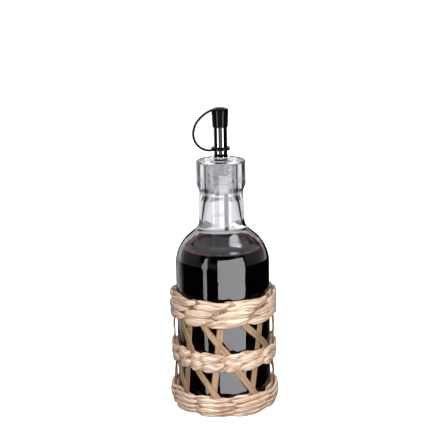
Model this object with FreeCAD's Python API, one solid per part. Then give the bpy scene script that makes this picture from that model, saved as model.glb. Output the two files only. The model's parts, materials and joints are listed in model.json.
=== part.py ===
import FreeCAD, Part
import math
import os
from FreeCAD import Vector

# Oil and vinegar dispenser: a round glass bottle with vinegar in it, a ribbed stopper with a
# steel spout and a breather tube, a black cap on a tether, and a hand-woven rush sleeve.
# Millimetres and degrees. Z is up, the origin is under the middle of the bottle's foot.
# Angles round the bottle start at the front (-Y) and grow to the right (+X).

# ---- glass bottle ----
BODY_R = 32.75
BODY_WALL = 3.0
BASE_THICK = 6.0
HEEL_R = 4.0
FOOT_INNER_R = 23.0
PUNT_DEPTH = 2.2
CAVITY_CORNER_R = 5.0
BOTTLE_HEIGHT = 175.0
SHOULDER_BELOW_TOP = 71.7
SHOULDER_R = 24.0
SHOULDER_TURN = 50.0
NECK_LOW_R = 16.0
NECK_TOP_R = 15.2
NECK_FILLET_R = 8.0
NECK_INNER_R = 9.8
NECK_INNER_FILLET_R = 10.0
LIP_R = 17.0
LIP_HEIGHT = 17.0
LIP_STEP = 4.2
LIP_EDGE_R = 1.4
BORE_R = 9.25
BORE_EDGE_R = 0.8
BORE_DEPTH = 24.0

# ---- vinegar ----
FILL_ABOVE_SHOULDER = 9.7

# ---- stopper ----
STOPPER_RIB_DEPTH = 1.15
STOPPER_HEAD = 4.0
STOPPER_LENGTH = 20.4
STOPPER_SINK = 0.4
RIB_COUNT = 3
RIB_PITCH = 5.1
RIB_THICK = 1.3
RIB_SLOPE = 0.8
FIRST_RIB = 0.2
RIB_CLEARANCE = 0.05
STOPPER_FLOOR = 3.2
NOZZLE_R = 3.05
NOZZLE_LENGTH = 3.6
NOZZLE_BORE_R = 1.6
NOZZLE_OFFSET = 1.4

# ---- breather tube ----
BREATHER_R = 1.6
BREATHER_BORE_R = 1.15
BREATHER_OFFSET = 3.3
BREATHER_LENGTH = 31.0

# ---- steel spout ----
SPOUT_R = 4.7
SPOUT_WALL = 0.6
SPOUT_REACH = 31.4
SPOUT_FOOT_REACH = 1.6
SPOUT_FOOT_THICK = 0.7
SPOUT_SWELL = 0.37
SPOUT_SWELL_Z = 2.7
SPOUT_SWELL_LENGTH = 2.2

# ---- cap, tether and ring ----
CAP_HEIGHT = 14.0
CAP_MOUTH_WALL = 0.51
CAP_TAPER = 0.53
CAP_DOME = 1.3
CAP_EDGE_R = 1.2
CAP_CHAMFER = 0.6
CAP_LIP = 0.4
CAP_CEILING = 5.4
CAP_CLEARANCE = 0.1
RING_WALL = 1.84
RING_THICK = 2.3
RING_EDGE_R = 0.8
RING_ABOVE_LIP = 6.7
TETHER_R = 0.6
TETHER_SINK = 0.6
TETHER_DROP = 2.2
TETHER_HEADING = 21.0
TETHER_ARCS = ((23.0, 32.0), (15.0, 37.0), (11.1, 108.0))

# ---- woven sleeve ----
GLASS_GAP = 0.25
BACK_THICK = 1.2
STRIP_THICK = 0.6
LAYER_GAP = 0.2
STRIP_WIDTH = 4.7
STRIP_FOOT_Z = 1.2
FOLD_RISE = 1.4
FOLD_DEPTH = 1.4
ROW_GAP = 0.15
CROSS_LENGTH = 2.3
LEAF_END_SHARE = 0.6
LEAF_BELLY = 0.38
LEAF_LEAN = 0.25
LEAF_CORNERS = ((-1.0, -0.6), (0.3, -1.0), (1.0, -0.4), (1.0, 0.4), (0.3, 1.0), (-1.0, 0.6))
ROW_WOBBLE = 0.25
WOBBLES = 3
EYE_STATIONS = 5
UPRIGHT_STEPS = 6
SLANT_STEPS = 24
FOLD_STEPS = 4

# How a row takes the strips: each upright with the slanting strip to its right, each slanting
# strip with the upright to its right (the row then runs through the folds), or one by one.
PAIRS, FOLDS, SINGLES = "pairs", "folds", "singles"
# The rows, from the foot up: the thickness in front, how it takes the strips, and how far on
# towards the next strip its wefts change places after a group that ends in a slanting strip.
BASE_FOOT_Z = 0.45
BASE_ROW = 3.5
BASE_SLANT_SHIFT = 2
BASE_ROWS = ((1.1, PAIRS, 0.45), (2.3, PAIRS, 0.35), (2.7, PAIRS, 0.5), (2.2, PAIRS, 0.4))
MIDDLE_FOOT_Z = 34.2
MIDDLE_ROW = 5.9
MIDDLE_SLANT_SHIFT = 1
MIDDLE_ROWS = ((1.25, SINGLES, 0.15), (1.25, SINGLES, 0.15))
TOP_FOOT_Z = 66.2
TOP_ROW = 5.6
TOP_SLANT_SHIFT = 0
TOP_ROWS = ((1.6, PAIRS, 0.15), (1.8, PAIRS, 0.7), (1.6, FOLDS, 0.5))
AFTER_UPRIGHT = 0.5

# Where each upright strip stands at the foot and at the top of the sleeve.
UPRIGHT_FOOT = (-16.0, 28.0, 76.0, 122.0, 168.0, 214.0, 258.0, 308.0)
UPRIGHT_TOP = (0.0, 52.0, 98.0, 142.0, 186.0, 230.0, 274.0, 321.0)
# Where each slanting strip leaves the top band, meets and leaves the middle one, and meets the base.
SLANT_LEAVES_TOP = (24.0, 74.0, 118.0, 163.0, 207.0, 253.0, 306.0, 337.0)
SLANT_MEETS_MIDDLE = (58.0, 102.0, 147.0, 192.0, 236.0, 284.0, 323.0, 363.5)
SLANT_LEAVES_MIDDLE = (68.0, 110.0, 156.0, 201.0, 246.0, 296.0, 328.0, 374.0)
SLANT_MEETS_BASE = (92.0, 134.0, 180.0, 226.0, 270.0, 312.0, 352.0, 397.0)
SLANT_TOP_OFFSET = 11.0
SLANT_FOOT_DRIFT = 4.0

# ---- worked out from the above ----
SPOKES = len(UPRIGHT_FOOT)
SHOULDER_Z = BOTTLE_HEIGHT - SHOULDER_BELOW_TOP
FILL_LEVEL = SHOULDER_Z + FILL_ABOVE_SHOULDER
LIP_FOOT_Z = BOTTLE_HEIGHT - LIP_HEIGHT
STOPPER_TOP_Z = BOTTLE_HEIGHT - STOPPER_SINK
STOPPER_FOOT_Z = STOPPER_TOP_Z - STOPPER_LENGTH
SPOUT_SEAT_Z = STOPPER_FOOT_Z + STOPPER_FLOOR
STOPPER_CORE_R = BORE_R - STOPPER_RIB_DEPTH
SPOUT_TOP_Z = STOPPER_TOP_Z + SPOUT_REACH
SPOUT_FOOT_R = SPOUT_R + SPOUT_FOOT_REACH
CAP_HOLE_R = SPOUT_R + CAP_CLEARANCE
CAP_MOUTH_R = CAP_HOLE_R + CAP_MOUTH_WALL
CAP_TOP_R = CAP_MOUTH_R + CAP_TAPER
RING_R = CAP_HOLE_R + RING_WALL
CAP_MOUTH_Z = SPOUT_TOP_Z + CAP_CLEARANCE + CAP_CEILING - CAP_HEIGHT
CAP_TOP_Z = CAP_MOUTH_Z + CAP_HEIGHT
RING_Z = BOTTLE_HEIGHT + RING_ABOVE_LIP

INNER_R = BODY_R + GLASS_GAP
UPRIGHT_R = INNER_R + BACK_THICK + LAYER_GAP
SLANT_R = UPRIGHT_R + STRIP_THICK + LAYER_GAP
FRONT_R = SLANT_R + STRIP_THICK + LAYER_GAP

BASE_TOP_Z = BASE_FOOT_Z + BASE_ROW * len(BASE_ROWS)
MIDDLE_TOP_Z = MIDDLE_FOOT_Z + MIDDLE_ROW * len(MIDDLE_ROWS)
SLEEVE_TOP_Z = TOP_FOOT_Z + TOP_ROW * len(TOP_ROWS) + FOLD_RISE

AXIS = Vector(0, 0, 1)
ORIGIN = Vector(0, 0, 0)


# ---- helpers ----
def at(r, z):
    """A point of a lathe outline: radius and height."""
    return Vector(r, 0, z)


def line(a, b):
    return Part.makeLine(a, b)


def arc(centre, radius, start, end):
    """An arc in the XZ plane between two angles, in degrees from +X towards +Z."""
    def spot(angle):
        turn = math.radians(angle)
        return centre + Vector(radius * math.cos(turn), 0, radius * math.sin(turn))
    return Part.Arc(spot(start), spot(0.5 * (start + end)), spot(end)).toShape()


def lathe(edges):
    """A solid turned round the Z axis from an outline that closes on itself."""
    face = Part.Face(Part.Wire(edges))
    return face.revolve(ORIGIN, AXIS, 360)


def joined(edges, last):
    """The same edges, with straight lines that close the outline back along the axis."""
    start = edges[0].firstVertex().Point
    return edges + [line(last, at(0, last.z)), line(at(0, last.z), start)]


def flare(body_r, neck_r, radius, fillet):
    """Shoulder of a bottle: an arc, a straight slope and an arc into the upright neck."""
    turn = math.radians(SHOULDER_TURN)
    centre = at(body_r - radius, SHOULDER_Z)
    slope_start = centre + Vector(radius * math.cos(turn), 0, radius * math.sin(turn))
    slope_end_r = neck_r + fillet * (1 - math.cos(turn))
    rise = (slope_start.x - slope_end_r) / math.tan(turn)
    slope_end = at(slope_end_r, slope_start.z + rise)
    neck_centre = at(neck_r + fillet, slope_end.z + fillet * math.sin(turn))
    edges = [
        arc(centre, radius, 0, SHOULDER_TURN),
        line(slope_start, slope_end),
        arc(neck_centre, fillet, 180 + SHOULDER_TURN, 180),
    ]
    return edges, at(neck_r, neck_centre.z)


def tube_section(radius, bore, z_low, z_high):
    outer = Part.makeCylinder(radius, z_high - z_low, at(0, z_low))
    return outer.cut(Part.makeCylinder(bore, z_high - z_low, at(0, z_low)))


# ---- bottle and vinegar ----
def cavity():
    """The room inside the bottle, from its floor to its mouth."""
    side_r = BODY_R - BODY_WALL
    corner = at(side_r - CAVITY_CORNER_R, BASE_THICK + CAVITY_CORNER_R)
    shoulder, neck_start = flare(side_r, NECK_INNER_R, SHOULDER_R - BODY_WALL, NECK_INNER_FILLET_R)
    bore_foot = at(BORE_R, BOTTLE_HEIGHT - BORE_DEPTH)
    edge_foot = at(BORE_R, BOTTLE_HEIGHT - BORE_EDGE_R)
    mouth_r = BORE_R + BORE_EDGE_R
    edges = [line(at(0, BASE_THICK), at(corner.x, BASE_THICK))]
    edges += [arc(corner, CAVITY_CORNER_R, -90, 0)]
    edges += [line(at(side_r, corner.z), at(side_r, SHOULDER_Z))]
    edges += shoulder
    edges += [line(neck_start, bore_foot), line(bore_foot, edge_foot)]
    edges += [arc(at(mouth_r, edge_foot.z), BORE_EDGE_R, 180, 90)]
    return lathe(joined(edges, at(mouth_r, BOTTLE_HEIGHT)))


def bottle():
    heel = at(BODY_R - HEEL_R, HEEL_R)
    shoulder, neck_start = flare(BODY_R, NECK_LOW_R, SHOULDER_R, NECK_FILLET_R)
    neck_end = at(NECK_TOP_R, LIP_FOOT_Z - LIP_STEP)
    bead = at(LIP_R - LIP_EDGE_R, LIP_FOOT_Z - LIP_EDGE_R)
    lip_top = BOTTLE_HEIGHT - LIP_EDGE_R
    punt_r = (FOOT_INNER_R ** 2 + PUNT_DEPTH ** 2) / (2 * PUNT_DEPTH)
    punt_half = math.degrees(math.asin(FOOT_INNER_R / punt_r))
    edges = [arc(at(0, PUNT_DEPTH - punt_r), punt_r, 90, 90 - punt_half)]
    edges += [line(at(FOOT_INNER_R, 0), at(heel.x, 0))]
    edges += [arc(heel, HEEL_R, -90, 0)]
    edges += [line(at(BODY_R, HEEL_R), at(BODY_R, SHOULDER_Z))]
    edges += shoulder
    edges += [line(neck_start, neck_end), line(neck_end, bead)]
    edges += [line(bead, at(LIP_R, LIP_FOOT_Z)), line(at(LIP_R, LIP_FOOT_Z), at(LIP_R, lip_top))]
    edges += [arc(at(LIP_R - LIP_EDGE_R, lip_top), LIP_EDGE_R, 0, 90)]
    outside = lathe(joined(edges, at(LIP_R - LIP_EDGE_R, BOTTLE_HEIGHT)))
    return outside.cut(cavity())


def vinegar():
    reach = 2 * BODY_R
    below = Part.makeBox(reach, reach, FILL_LEVEL, Vector(-BODY_R, -BODY_R, 0))
    return cavity().common(below)


# ---- pourer ----
def stopper():
    """Ribbed plug with a socket for the spout, a nozzle and a hole for the breather."""
    rib_r = BORE_R - RIB_CLEARANCE
    core = Part.makeCylinder(STOPPER_CORE_R, STOPPER_LENGTH, at(0, STOPPER_FOOT_Z))
    head = Part.makeCylinder(rib_r, STOPPER_HEAD, at(0, STOPPER_TOP_Z - STOPPER_HEAD))
    body = core.fuse(head)
    for index in range(RIB_COUNT):
        foot = STOPPER_FOOT_Z + FIRST_RIB + index * RIB_PITCH
        cone = Part.makeCone(STOPPER_CORE_R, rib_r, RIB_SLOPE, at(0, foot))
        land = Part.makeCylinder(rib_r, RIB_THICK - RIB_SLOPE, at(0, foot + RIB_SLOPE))
        body = body.fuse([cone, land])
    nozzle_foot = Vector(-NOZZLE_OFFSET, 0, STOPPER_FOOT_Z - NOZZLE_LENGTH)
    body = body.fuse(Part.makeCylinder(NOZZLE_R, NOZZLE_LENGTH + STOPPER_FLOOR, nozzle_foot))
    socket = Part.makeCylinder(SPOUT_R, STOPPER_LENGTH, at(0, SPOUT_SEAT_Z))
    channel = Part.makeCylinder(NOZZLE_BORE_R, NOZZLE_LENGTH + STOPPER_LENGTH, nozzle_foot)
    breather_foot = Vector(BREATHER_OFFSET, 0, STOPPER_FOOT_Z)
    breather_hole = Part.makeCylinder(BREATHER_R, STOPPER_FLOOR, breather_foot)
    return body.cut([socket, channel, breather_hole]).removeSplitter()


def breather():
    top = SPOUT_SEAT_Z
    tube = tube_section(BREATHER_R, BREATHER_BORE_R, top - BREATHER_LENGTH, top)
    tube.translate(Vector(BREATHER_OFFSET, 0, 0))
    return tube


def spout():
    """Steel tube with a foot that rests on the stopper and a swell above it."""
    foot_top = STOPPER_TOP_Z + SPOUT_FOOT_THICK
    swell_z = STOPPER_TOP_Z + SPOUT_SWELL_Z
    swell_low = at(SPOUT_R, swell_z - SPOUT_SWELL_LENGTH)
    swell_high = at(SPOUT_R, swell_z + SPOUT_SWELL_LENGTH)
    bore_r = SPOUT_R - SPOUT_WALL
    edges = [
        line(at(SPOUT_R, SPOUT_SEAT_Z), at(SPOUT_R, STOPPER_TOP_Z)),
        line(at(SPOUT_R, STOPPER_TOP_Z), at(SPOUT_FOOT_R, STOPPER_TOP_Z)),
        line(at(SPOUT_FOOT_R, STOPPER_TOP_Z), at(SPOUT_FOOT_R, foot_top)),
        line(at(SPOUT_FOOT_R, foot_top), at(SPOUT_R, foot_top)),
    ]
    if swell_low.z > foot_top:
        edges += [line(at(SPOUT_R, foot_top), swell_low)]
    else:
        swell_low = at(SPOUT_R, foot_top)
    swell = Part.Arc(swell_low, at(SPOUT_R + SPOUT_SWELL, swell_z), swell_high)
    edges += [swell.toShape()]
    edges += [
        line(swell_high, at(SPOUT_R, SPOUT_TOP_Z)),
        line(at(SPOUT_R, SPOUT_TOP_Z), at(bore_r, SPOUT_TOP_Z)),
        line(at(bore_r, SPOUT_TOP_Z), at(bore_r, SPOUT_SEAT_Z)),
        line(at(bore_r, SPOUT_SEAT_Z), at(SPOUT_R, SPOUT_SEAT_Z)),
    ]
    return lathe(edges)


def tether_path(start):
    """Tangent arcs that leave the cap to the left and turn down and back to the ring."""
    edges = []
    heading = TETHER_HEADING
    centre_side = start
    for radius, turn in TETHER_ARCS:
        across = math.radians(heading)
        centre = centre_side + Vector(radius * math.sin(across), 0, -radius * math.cos(across))
        edges.append(arc(centre, radius, 90 + heading, 90 + heading + turn))
        heading += turn
        end = math.radians(90 + heading)
        centre_side = centre + Vector(radius * math.cos(end), 0, radius * math.sin(end))
    return Part.Wire(edges)


def cap():
    """Black moulding: the cap over the spout, its thin tether and the ring round the spout."""
    dome_foot = CAP_TOP_Z - CAP_DOME
    edge_r = CAP_TOP_R - CAP_EDGE_R
    side_top = at(CAP_TOP_R, dome_foot - CAP_EDGE_R)
    side_foot = at(CAP_MOUTH_R, CAP_MOUTH_Z + CAP_CHAMFER)
    lip = at(CAP_MOUTH_R - CAP_LIP, CAP_MOUTH_Z)
    crown = at(0.55 * edge_r, CAP_TOP_Z - 0.3 * CAP_DOME)
    edges = [Part.Arc(at(0, CAP_TOP_Z), crown, at(edge_r, dome_foot)).toShape()]
    edges += [arc(at(edge_r, side_top.z), CAP_EDGE_R, 90, 0)]
    edges += [line(side_top, side_foot), line(side_foot, lip)]
    edges += [line(lip, at(0, CAP_MOUTH_Z)), line(at(0, CAP_MOUTH_Z), at(0, CAP_TOP_Z))]
    body = lathe(edges)
    body = body.cut(Part.makeCylinder(CAP_HOLE_R, CAP_HEIGHT - CAP_CEILING, at(0, CAP_MOUTH_Z)))

    start = at(-(CAP_TOP_R - TETHER_SINK), CAP_TOP_Z - TETHER_DROP)
    across = math.radians(TETHER_HEADING)
    heading = Vector(-math.cos(across), 0, -math.sin(across))
    section = Part.Wire(Part.makeCircle(TETHER_R, start, heading))
    strap = tether_path(start).makePipeShell([section], True, True)

    ring = Part.makeCylinder(RING_R, RING_THICK, at(0, RING_Z))
    ring = ring.makeFillet(RING_EDGE_R, [e for e in ring.Edges if e.BoundBox.ZLength < 1e-6])
    spout_room = Part.makeCylinder(CAP_HOLE_R, CAP_MOUTH_Z, ORIGIN)
    return body.fuse([strap.cut(spout_room), ring.cut(spout_room)]).removeSplitter()


# ---- sleeve ----
def along(values, heights, z):
    """Angle at a height, straight between the given heights."""
    z = min(max(z, heights[0]), heights[-1])
    for low, high, a, b in zip(heights, heights[1:], values, values[1:]):
        if z <= high:
            return a + (b - a) * (z - low) / (high - low)


def upright_angle(spoke, z):
    """Angle of the upright leg of a strip; spokes past the last start a second round."""
    around, k = divmod(spoke, SPOKES)
    return 360.0 * around + along((UPRIGHT_FOOT[k], UPRIGHT_TOP[k]), (0.0, SLEEVE_TOP_Z), z)


def slant_angle(spoke, z):
    """Angle of the slanting leg that comes down from the fold at this spoke's top."""
    around, k = divmod(spoke, SPOKES)
    values = (
        SLANT_MEETS_BASE[k] + SLANT_FOOT_DRIFT,
        SLANT_MEETS_BASE[k],
        SLANT_LEAVES_MIDDLE[k],
        SLANT_MEETS_MIDDLE[k],
        SLANT_LEAVES_TOP[k],
        UPRIGHT_TOP[k] + SLANT_TOP_OFFSET,
    )
    heights = (STRIP_FOOT_Z, BASE_TOP_Z, MIDDLE_FOOT_Z, MIDDLE_TOP_Z, TOP_FOOT_Z, SLEEVE_TOP_Z)
    return 360.0 * around + along(values, heights, z)


def round_point(angle, radius, z):
    turn = math.radians(angle)
    return Vector(radius * math.sin(turn), -radius * math.cos(turn), z)


def leaf(sections, closed):
    """A solid ribbon: one smooth face along each edge of its section, joined end to end or capped."""
    count = len(sections)
    if closed:
        knots, repeats = list(range(count + 1)), [1] * (count + 1)
    else:
        knots = list(range(count - 2))
        repeats = [4] + [1] * (count - 4) + [4]
    corners = len(sections[0])
    faces = []
    for corner in range(corners):
        following = (corner + 1) % corners
        poles = [[section[corner], section[following]] for section in sections]
        side = Part.BSplineSurface()
        side.buildFromPolesMultsKnots(poles, repeats, [2, 2], knots, [0, 1], closed, False, 3, 1)
        faces.append(side.toShape())
    if not closed:
        for section in (sections[0], sections[-1]):
            faces.append(Part.Face(Part.makePolygon(section + section[:1])))
    shell = Part.makeShell(faces)
    shell.sewShape()
    solid = Part.Solid(shell)
    if solid.Volume < 0:
        solid.reverse()
    return solid


def sideways(angle_at, z):
    """How far a strip moves round the sleeve for each millimetre of height."""
    return math.radians(angle_at(z + 0.5) - angle_at(z - 0.5)) * SLANT_R


def half_width_angle(angle_at, z):
    """Half of a strip's level width, as an angle: a slanting strip is cut wider."""
    return math.degrees(0.5 * STRIP_WIDTH * math.hypot(1.0, sideways(angle_at, z)) / SLANT_R)


def strip(angle_at, radius, steps):
    """A flat strip that lies on the sleeve's round, from its foot to the fold at the top."""
    sections = []
    for index in range(steps + 1):
        z = STRIP_FOOT_Z + (SLEEVE_TOP_Z - STRIP_FOOT_Z) * index / steps
        half = half_width_angle(angle_at, z)
        left, right = angle_at(z) - half, angle_at(z) + half
        sections.append([
            round_point(left, radius, z),
            round_point(right, radius, z),
            round_point(right, radius + STRIP_THICK, z),
            round_point(left, radius + STRIP_THICK, z),
        ])
    return leaf(sections, False)


def stake(spoke):
    """One strip folded over at the top: an upright leg and, over it, a slanting leg."""
    upright = strip(lambda z: upright_angle(spoke, z), UPRIGHT_R, UPRIGHT_STEPS)
    slant = strip(lambda z: slant_angle(spoke, z), SLANT_R, SLANT_STEPS)
    left = upright_angle(spoke, SLEEVE_TOP_Z) - math.degrees(0.5 * STRIP_WIDTH / UPRIGHT_R)
    right = slant_angle(spoke, SLEEVE_TOP_Z) + math.degrees(0.5 * STRIP_WIDTH / SLANT_R)
    outer_r = SLANT_R + STRIP_THICK
    sections = []
    for index in range(FOLD_STEPS + 1):
        angle = left + (right - left) * index / FOLD_STEPS
        sections.append([
            round_point(angle, UPRIGHT_R, SLEEVE_TOP_Z - FOLD_DEPTH),
            round_point(angle, outer_r, SLEEVE_TOP_Z - FOLD_DEPTH),
            round_point(angle, outer_r, SLEEVE_TOP_Z),
            round_point(angle, UPRIGHT_R, SLEEVE_TOP_Z),
        ])
    return upright.fuse([leaf(sections, False), slant]).removeSplitter()


def taken(angle_at, z, row_height):
    """The angles that a strip takes up while it passes through a row."""
    drift = math.degrees(0.5 * row_height * abs(sideways(angle_at, z)) / SLANT_R)
    reach = half_width_angle(angle_at, z) + drift
    return angle_at(z) - reach, angle_at(z) + reach


def groups(z, row_height, slant_shift, manner):
    """The groups of strips that a row takes: where each starts and ends, and its last strip."""
    found = []
    for spoke in range(SPOKES):
        slant_of = spoke - slant_shift
        upright = taken(lambda height: upright_angle(spoke, height), z, row_height)
        slant = taken(lambda height: slant_angle(slant_of, height), z, row_height)
        following = taken(lambda height: upright_angle(spoke + 1, height), z, row_height)
        if manner == PAIRS:
            found.append((min(upright[0], slant[0]), max(upright[1], slant[1]), "slant"))
        elif manner == FOLDS:
            found.append((slant[0], following[1], "upright"))
        else:
            found += [(*upright, "upright"), (*slant, "slant")]
    return found


def crossings(z, row_height, slant_shift, manner, after_slant):
    """The angles at which a row's two wefts change places, once round and back to the first."""
    found = groups(z, row_height, slant_shift, manner)
    first = found[0]
    following = found[1:] + [(first[0] + 360.0, first[1] + 360.0, first[2])]
    places = []
    for (_, end, last), (start, _, _) in zip(found, following):
        share = after_slant if last == "slant" else AFTER_UPRIGHT
        places.append(end + share * (start - end))
    return [places[-1] - 360.0] + places


def weft(z, row_height, front_thick, places, first_side):
    """One weft of a twined row: over one group of strips, then behind the next one.

    Between two groups the row's two wefts change places, one above the other.
    """
    front_mid = FRONT_R + 0.5 * front_thick
    back_mid = INNER_R + 0.5 * BACK_THICK
    lean_reach = LEAF_LEAN * row_height
    cross_reach = math.degrees(CROSS_LENGTH / FRONT_R)
    side = first_side
    sections = []
    for start, end in zip(places, places[1:]):
        radius = front_mid if side > 0 else back_mid
        thick = front_thick if side > 0 else BACK_THICK
        for station in range(EYE_STATIONS):
            share = station / (EYE_STATIONS - 1)
            angle = start + cross_reach + share * (end - start - 2 * cross_reach)
            height = row_height * (LEAF_END_SHARE + LEAF_BELLY * math.sin(math.pi * share))
            lean = lean_reach * (2 * (angle - start) / (end - start) - 1) * side
            sections.append(leaf_section(angle, radius, z + lean, thick, height))
        cross_thick = 0.5 * (front_thick + BACK_THICK)
        cross_height = 2 * lean_reach - ROW_GAP
        cross_r = 0.5 * (front_mid + back_mid)
        sections.append(leaf_section(end, cross_r, z + lean_reach * side, cross_thick, cross_height))
        side = -side
    return leaf(sections, True)


def leaf_section(angle, radius, z, thick, height):
    """Section of a folded rush leaf: upright in front, its back drawn in a little."""
    z += ROW_WOBBLE * math.sin(math.radians(WOBBLES * angle) + z)
    return [
        round_point(angle, radius + 0.5 * thick * out, z + 0.5 * height * up)
        for out, up in LEAF_CORNERS
    ]


def twined_band(name, foot_z, row_height, slant_shift, rows):
    """The two wefts of every row of a band."""
    for row, (front_thick, manner, after_slant) in enumerate(rows):
        z = foot_z + (row + 0.5) * row_height
        places = crossings(z, row_height, slant_shift, manner, after_slant)
        write(f"weft_{name}_{row + 1}_a", weft(z, row_height, front_thick, places, 1))
        write(f"weft_{name}_{row + 1}_b", weft(z, row_height, front_thick, places, -1))


# ---- write every piece ----
def write(name, shape):
    print(f"{name:20s} volume {shape.Volume:9.1f}  valid {shape.isValid()}")
    if len(shape.Solids) != 1:
        raise ValueError(f"{name} has {len(shape.Solids)} solids")
    shape.Solids[0].exportStep(os.path.join("parts", f"{name}.step"))


os.makedirs("parts", exist_ok=True)
write("glass_bottle", bottle())
write("vinegar", vinegar())
write("stopper", stopper())
write("breather_tube", breather())
write("spout", spout())
write("cap", cap())
for number in range(SPOKES):
    write(f"stake_{number + 1}", stake(number))
twined_band("base", BASE_FOOT_Z, BASE_ROW, BASE_SLANT_SHIFT, BASE_ROWS)
twined_band("middle", MIDDLE_FOOT_Z, MIDDLE_ROW, MIDDLE_SLANT_SHIFT, MIDDLE_ROWS)
twined_band("top", TOP_FOOT_Z, TOP_ROW, TOP_SLANT_SHIFT, TOP_ROWS)
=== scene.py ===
# %% [markdown]
# # An oil and vinegar dispenser
# A glass bottle of dark vinegar stands in a sleeve woven from rush leaves. A ribbed stopper
# holds a steel spout, and a black cap hangs on a tether that is moulded in one piece with it.
# The construction model is loaded first as a fixed frame. Every piece made here is drawn in
# that frame, in metres, with the origin under the middle of the foot and Z up.

# %% Load the fixed frame
import json
import math

import bmesh
import bpy
from mathutils import Matrix, Vector, noise

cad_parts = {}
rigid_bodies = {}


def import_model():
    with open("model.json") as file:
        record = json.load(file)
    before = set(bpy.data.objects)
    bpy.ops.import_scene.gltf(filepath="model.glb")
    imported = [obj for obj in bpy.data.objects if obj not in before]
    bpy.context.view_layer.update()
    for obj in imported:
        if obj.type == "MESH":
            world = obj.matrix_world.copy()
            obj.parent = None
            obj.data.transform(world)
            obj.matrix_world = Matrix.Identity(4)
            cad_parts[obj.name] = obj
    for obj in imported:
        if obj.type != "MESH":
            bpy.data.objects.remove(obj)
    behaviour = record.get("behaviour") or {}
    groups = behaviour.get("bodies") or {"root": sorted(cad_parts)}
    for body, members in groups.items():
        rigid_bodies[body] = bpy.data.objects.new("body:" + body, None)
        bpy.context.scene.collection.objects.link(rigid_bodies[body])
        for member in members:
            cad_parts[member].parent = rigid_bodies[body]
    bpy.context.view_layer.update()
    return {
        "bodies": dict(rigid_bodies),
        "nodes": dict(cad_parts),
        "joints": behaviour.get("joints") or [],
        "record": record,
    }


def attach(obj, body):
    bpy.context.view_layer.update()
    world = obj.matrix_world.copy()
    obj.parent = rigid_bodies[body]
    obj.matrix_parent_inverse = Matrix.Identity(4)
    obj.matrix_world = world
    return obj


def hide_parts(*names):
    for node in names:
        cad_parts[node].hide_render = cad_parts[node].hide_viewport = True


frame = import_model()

MM = 0.001
nodes = frame["nodes"]

# %% [markdown]
# ## Camera
# A product shot is taken with a long lens from a little above, so that the upright lines of
# the bottle stay nearly parallel. The camera could be turned by hand-typed angles. Aiming it
# at a point keeps the object in the frame when the camera is moved, so a quaternion from the
# aim is used, and then a roll of about a degree, as a hand-set tripod would have.

# %% Place the camera
CAMERA_PLACE = Vector((0.0, -0.7637, 0.3189))
CAMERA_AIM = Vector((0.0, 0.0, 0.1324))
CAMERA_ROLL = -1.05
LENS, SHIFT = 92.6, -0.0040

camera_data = bpy.data.cameras.new("camera")
camera_data.lens = LENS
camera_data.shift_x = SHIFT
camera = bpy.data.objects.new("camera", camera_data)
camera.location = CAMERA_PLACE
camera.rotation_mode = "QUATERNION"
look = (CAMERA_AIM - CAMERA_PLACE).to_track_quat("-Z", "Y")
roll = Matrix.Rotation(math.radians(CAMERA_ROLL), 3, "Z").to_quaternion()
camera.rotation_quaternion = look @ roll
bpy.context.scene.collection.objects.link(camera)
bpy.context.scene.camera = camera
bpy.context.scene.view_settings.view_transform = "Standard"
print("camera", round((CAMERA_AIM - CAMERA_PLACE).length, 3), "m away")

# %% [markdown]
# ## Shader maths
# Long chains of Math nodes are hard to read. A small class wraps one output socket and
# overloads the arithmetic operators, so that a pattern can be written as a formula such as
# `1.0 - mask`. Each operation adds one Math node.

# %% A socket with operators
class Wire:
    """One output of a node; arithmetic on it adds Math nodes."""

    def __init__(self, tree, socket):
        self.tree, self.socket = tree, socket

    def maths(self, operation, *values):
        settings = {"operation": operation}
        return self.tree.node("ShaderNodeMath", settings, dict(enumerate(values)))

    def __add__(self, other):
        return self.maths("ADD", self, other)

    def __sub__(self, other):
        return self.maths("SUBTRACT", self, other)

    def __rsub__(self, other):
        return self.maths("SUBTRACT", other, self)

    def __mul__(self, other):
        return self.maths("MULTIPLY", self, other)

    def __truediv__(self, other):
        return self.maths("DIVIDE", self, other)

    def __pow__(self, other):
        return self.maths("POWER", self, other)

    __radd__, __rmul__ = __add__, __mul__

    def absolute(self):
        return self.maths("ABSOLUTE", self)

    def arcsine(self):
        return self.maths("ARCSINE", self)

    def larger(self, other):
        return self.maths("MAXIMUM", self, other)

    def between(self, low, high):
        """0 below low, 1 above high, and smooth in between."""
        settings = {"interpolation_type": "SMOOTHSTEP"}
        inputs = {"Value": self, "From Min": low, "From Max": high}
        return self.tree.node("ShaderNodeMapRange", settings, inputs)

    def beside(self, output):
        """Another output of the same node."""
        return Wire(self.tree, self.socket.node.outputs[output])


print("formulas make Math nodes")

# %% [markdown]
# ## Node trees
# Every other node comes from one method. It takes the type of the node, its settings, which
# are set first because they can change the sockets, and the values or links of its sockets.

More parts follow.
